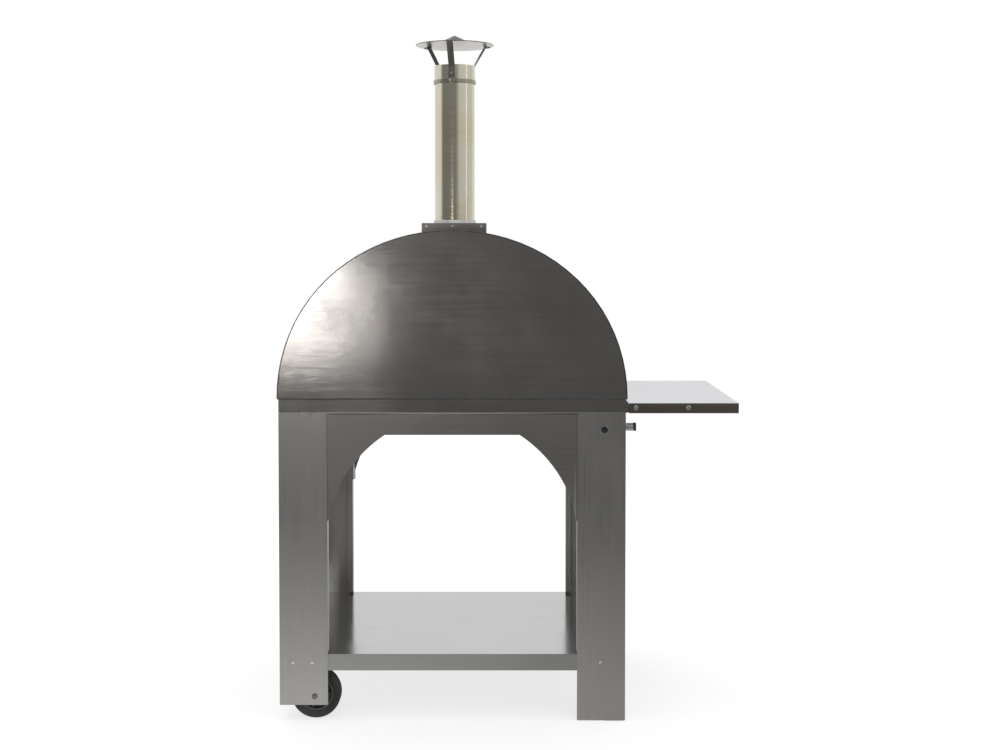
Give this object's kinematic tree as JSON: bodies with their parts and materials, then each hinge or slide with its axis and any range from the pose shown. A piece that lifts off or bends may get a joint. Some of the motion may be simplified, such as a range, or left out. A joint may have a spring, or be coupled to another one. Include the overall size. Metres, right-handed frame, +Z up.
{
  "type": "wood fired pizza oven",
  "caption": "Half-barrel stainless oven with a flue and rain cap, on a wheeled cart with arched aprons, a lower shelf, a folding side shelf and a swinging insulated door.",
  "frame": {"origin": "on the floor, under the centre of the whole object's box", "axes": "+Z up; +Y out of the mouth, towards the cook; +X towards the side shelf"},
  "size_m": [1.386, 0.8768, 2.091],
  "materials": {
    "brushed_steel": "brushed stainless sheet with a fine straight grain",
    "satin_sheet": "satin stainless sheet, paler, soft sheen",
    "bright_flue": "bright rolled stainless tube",
    "zinc_fittings": "zinc plated, satin",
    "dark_fittings": "blackened steel, satin",
    "black_rubber": "moulded black rubber",
    "wheel_rubber": "solid black tyre rubber",
    "hub_plastic": "black moulded nylon",
    "firebrick": "pressed fireclay, open grain",
    "ceramic_wool": "white ceramic fibre blanket",
    "oiled_wood": "turned hardwood, oiled",
    "gauge_glass": "clear flat lens",
    "needle_red": "red enamel"
  },
  "bodies": {
    "oven": {"leg_rear_left": "brushed_steel", "leg_front_left": "brushed_steel", "leg_rear_right": "brushed_steel", "leg_front_right": "brushed_steel", "apron_rear": "brushed_steel", "apron_front": "brushed_steel", "apron_left": "brushed_steel", "apron_right": "brushed_steel", "base_tray": "brushed_steel", "roof_skin": "brushed_steel", "back_panel": "brushed_steel", "front_panel": "brushed_steel", "flue_saddle": "brushed_steel", "flue_clamp": "brushed_steel", "cap_hood": "brushed_steel", "peg_rear": "brushed_steel", "peg_front": "brushed_steel", "side_shelf_bracket_rear": "brushed_steel", "side_shelf_bracket_front": "brushed_steel", "lower_shelf": "satin_sheet", "inner_vault": "satin_sheet", "inner_back_wall": "satin_sheet", "mouth_frame": "satin_sheet", "flue_collar": "bright_flue", "flue_pipe": "bright_flue", "cap_sleeve": "bright_flue", "wheel_axle": "zinc_fittings", "peg_bolt_rear": "dark_fittings", "peg_bolt_front": "dark_fittings", "hinge_bracket_low": "dark_fittings", "hinge_bracket_high": "dark_fittings", "foot_pad_rear": "black_rubber", "foot_pad_front": "black_rubber", "peg_cap_rear": "black_rubber", "peg_cap_front": "black_rubber", "hearth_tile_left": "firebrick", "hearth_tile_right": "firebrick", "floor_insulation": "ceramic_wool", "insulation_blanket": "ceramic_wool", "back_insulation": "ceramic_wool", "front_insulation": "ceramic_wool"},
    "wheel_rear": {"tyre_rear": "wheel_rubber", "wheel_hub_rear": "hub_plastic"},
    "wheel_front": {"tyre_front": "wheel_rubber", "wheel_hub_front": "hub_plastic"},
    "side_shelf": {"side_shelf_top": "satin_sheet", "side_shelf_screw_rear": "bright_flue", "side_shelf_screw_front": "bright_flue"},
    "door": {"door_skin": "brushed_steel", "door_liner": "satin_sheet", "door_insulation": "ceramic_wool", "hinge_leaf_low": "dark_fittings", "hinge_leaf_high": "dark_fittings", "handle_bracket": "zinc_fittings", "handle_grip": "oiled_wood", "thermometer_case": "zinc_fittings", "thermometer_lens": "gauge_glass", "vent_guide": "zinc_fittings"},
    "vent": {"vent_slider": "brushed_steel"},
    "needle": {"thermometer_needle": "needle_red"}
  },
  "joints": [
    {"name": "wheel_rear_spin", "type": "hinge", "parent": "oven", "child": "wheel_rear", "pos_m": [-0.583, -0.385, 0.075], "axis": [0, 1, 0], "continuous": true},
    {"name": "wheel_front_spin", "type": "hinge", "parent": "oven", "child": "wheel_front", "pos_m": [-0.583, 0.289, 0.075], "axis": [0, 1, 0], "continuous": true},
    {"name": "side_shelf_fold", "type": "hinge", "parent": "oven", "child": "side_shelf", "pos_m": [0.383, -0.048, 0.942], "axis": [0, 1, 0], "range_deg": [0, 90]},
    {"name": "door_swing", "type": "hinge", "parent": "oven", "child": "door", "pos_m": [-0.471, 0.3735, 1.12], "axis": [0, 0, 1], "range_deg": [0, 110]},
    {"name": "vent_slide", "type": "slide", "parent": "door", "child": "vent", "axis": [-1, 0, 0], "range_m": [0, 0.045]},
    {"name": "thermometer_turn", "type": "hinge", "parent": "door", "child": "needle", "pos_m": [-0.169, 0.377, 1.205], "axis": [0, -1, 0], "range_deg": [0, 260]}
  ]
}
